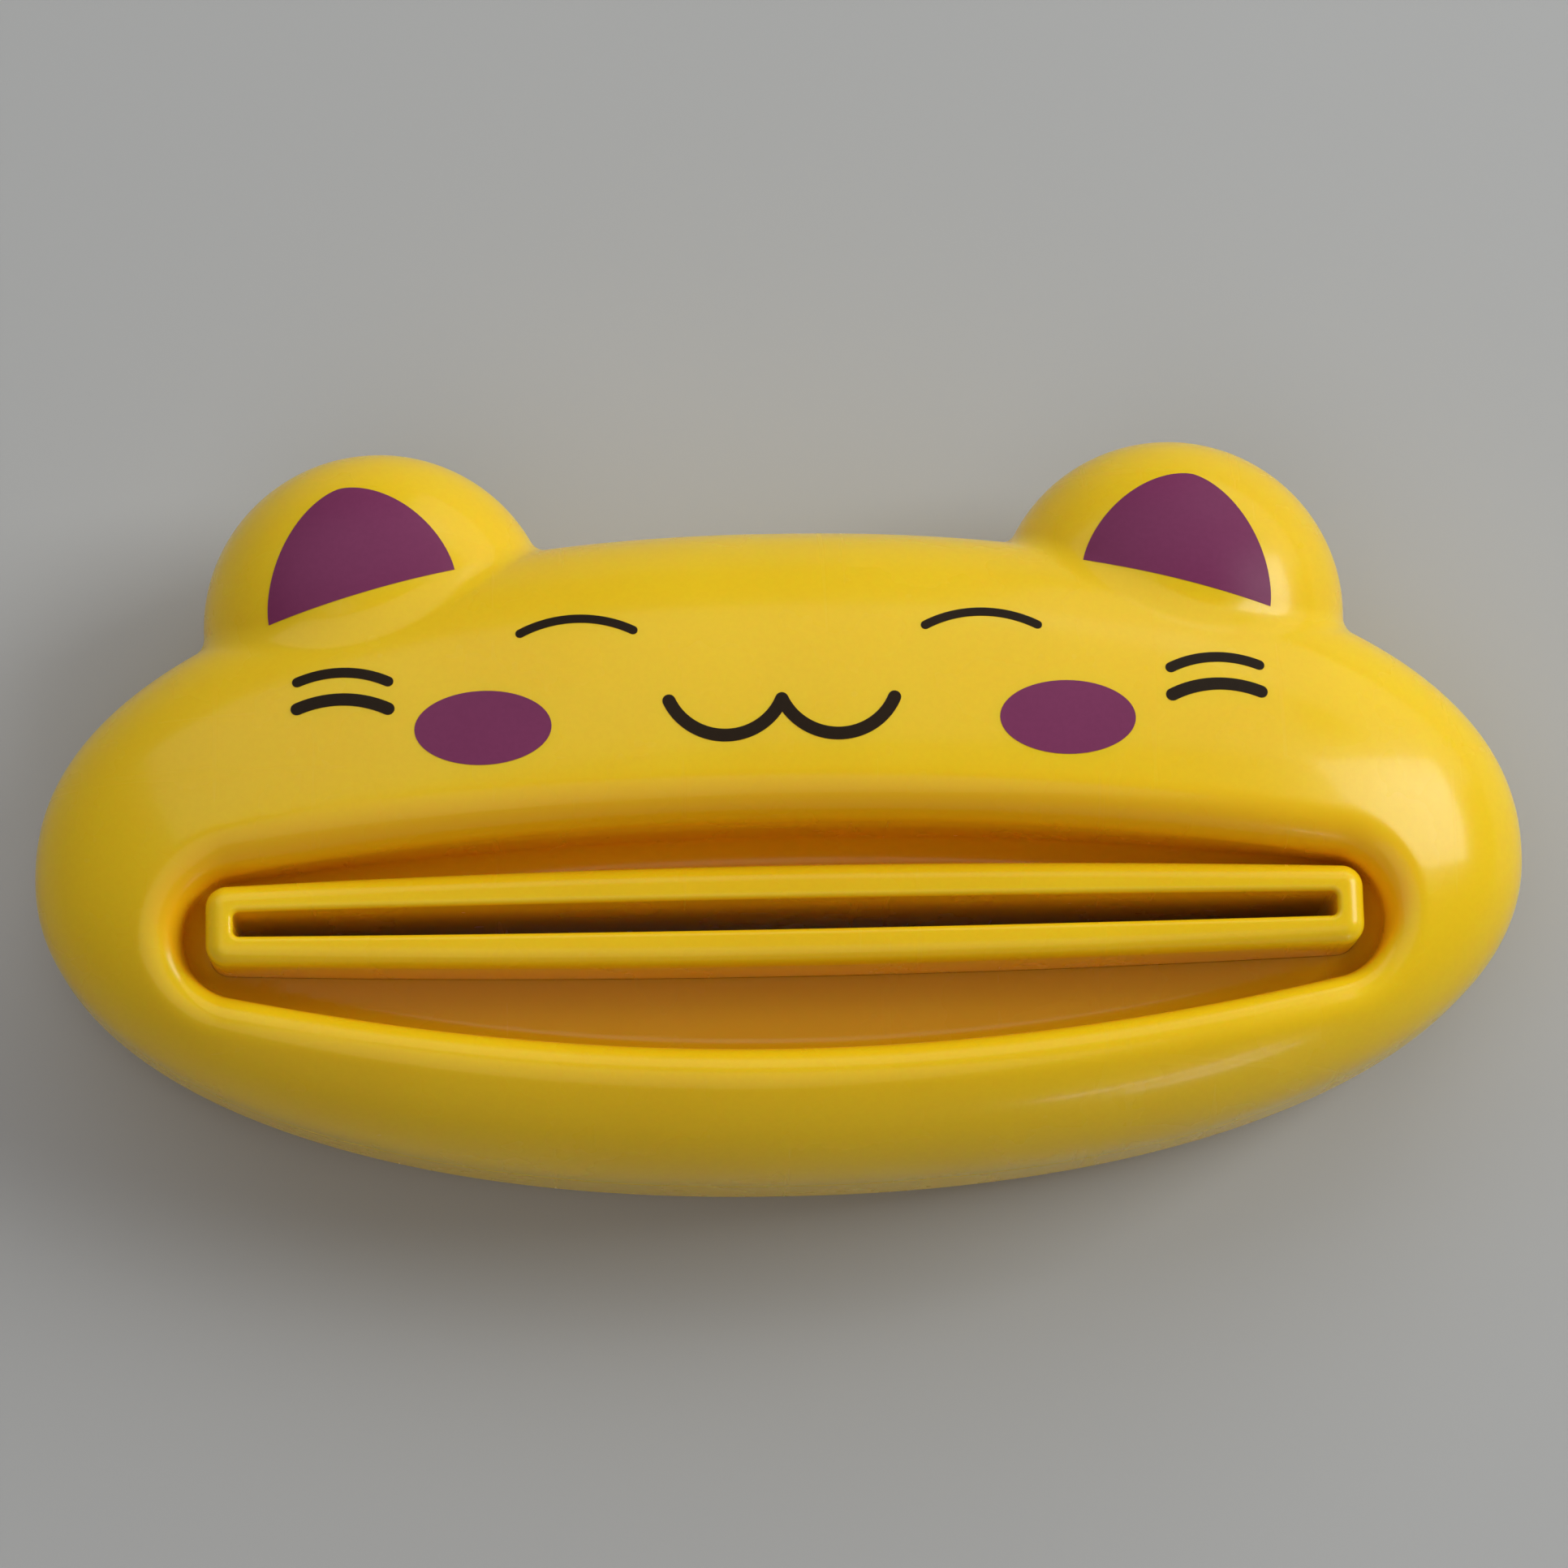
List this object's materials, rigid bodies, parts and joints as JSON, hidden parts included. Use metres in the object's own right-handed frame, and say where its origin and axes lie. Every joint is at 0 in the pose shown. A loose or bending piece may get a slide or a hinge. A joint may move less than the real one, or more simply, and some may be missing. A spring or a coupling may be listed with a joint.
{
  "type": "toothpaste tube squeezer",
  "caption": "Wide animal-head tube squeezer in glossy yellow plastic: two shells with round ears, a long mouth and a through slot, with a printed face.",
  "frame": {"origin": "on the plane of the flat back, under the middle of the outline's bounding rectangle", "axes": "+Z out of the face, +X to the right across the head, +Y from the chin to the ears; the part lies on its back"},
  "size_m": [0.098, 0.0494, 0.0245],
  "materials": {
    "yellow_plastic": "glossy injection moulding, lightly translucent",
    "purple_ink": "pad-printed ink, satin",
    "black_ink": "pad-printed ink, satin"
  },
  "bodies": {
    "root": {"front_shell": "yellow_plastic", "rear_shell": "yellow_plastic", "slot_sleeve": "yellow_plastic", "left_inner_ear": "purple_ink", "right_inner_ear": "purple_ink", "left_cheek": "purple_ink", "right_cheek": "purple_ink", "left_eye": "black_ink", "right_eye": "black_ink", "smile": "black_ink", "left_whiskers": "black_ink", "right_whiskers": "black_ink"}
  },
  "joints": []
}
